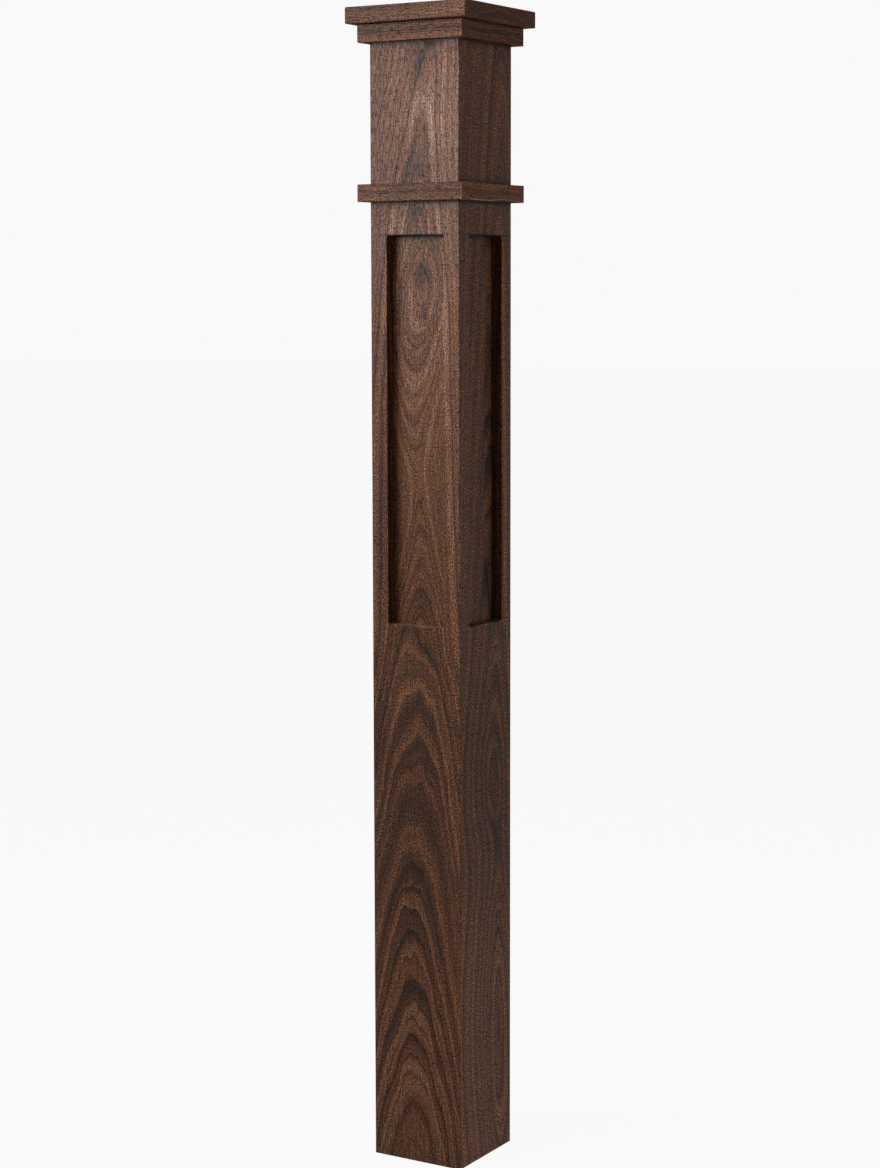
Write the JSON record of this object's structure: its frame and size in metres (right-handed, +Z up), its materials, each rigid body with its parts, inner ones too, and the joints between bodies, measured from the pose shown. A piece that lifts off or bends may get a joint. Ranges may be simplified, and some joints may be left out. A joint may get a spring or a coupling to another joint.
{
  "type": "box newel post",
  "caption": "Tall square newel post: a hollow mitred box with a sunk panel in each side, a neck band and a flat overhanging cap.",
  "frame": {"origin": "centre of the square foot, on the floor", "axes": "+Z up the post, -Y out of the front side, +X out of the right side"},
  "size_m": [0.171, 0.171, 1.4445],
  "materials": {
    "side_board": "walnut, satin clear lacquer, vertical grain",
    "recessed_panel": "walnut, satin clear lacquer, vertical grain",
    "neck_band": "walnut, satin clear lacquer, horizontal grain",
    "under_cap_moulding": "walnut, satin clear lacquer, horizontal grain",
    "cap_board": "walnut, satin clear lacquer, horizontal grain"
  },
  "bodies": {
    "root": {"side_board_front": "side_board", "side_board_right": "side_board", "side_board_back": "side_board", "side_board_left": "side_board", "recessed_panel_front": "recessed_panel", "recessed_panel_right": "recessed_panel", "recessed_panel_back": "recessed_panel", "recessed_panel_left": "recessed_panel", "neck_band_front": "neck_band", "neck_band_right": "neck_band", "neck_band_back": "neck_band", "neck_band_left": "neck_band", "under_cap_moulding_front": "under_cap_moulding", "under_cap_moulding_right": "under_cap_moulding", "under_cap_moulding_back": "under_cap_moulding", "under_cap_moulding_left": "under_cap_moulding", "cap_board": "cap_board"}
  },
  "joints": []
}
